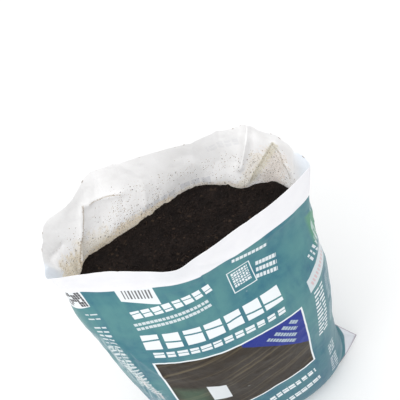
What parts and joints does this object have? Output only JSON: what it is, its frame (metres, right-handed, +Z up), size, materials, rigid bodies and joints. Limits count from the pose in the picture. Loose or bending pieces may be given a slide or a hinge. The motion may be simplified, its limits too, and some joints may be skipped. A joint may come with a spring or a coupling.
{
  "type": "compost bag",
  "caption": "Opened side-gusseted film sack standing on its base, filled with soil to below its mouth, with flat heat-sealed bottom corners.",
  "frame": {"origin": "middle of the bounding box at the level that the bag stands on", "axes": "+Z up through the mouth, +X across the panel to the right as seen from the printed front, -Y out of the printed front panel"},
  "size_m": [0.3752, 0.1901, 0.5515],
  "materials": {
    "printed_film": "glossy printed film, white inside and along the mouth",
    "soil": "loose, fine, moist and matt"
  },
  "bodies": {
    "root": {"film_bag": "printed_film", "soil": "soil"}
  },
  "joints": []
}
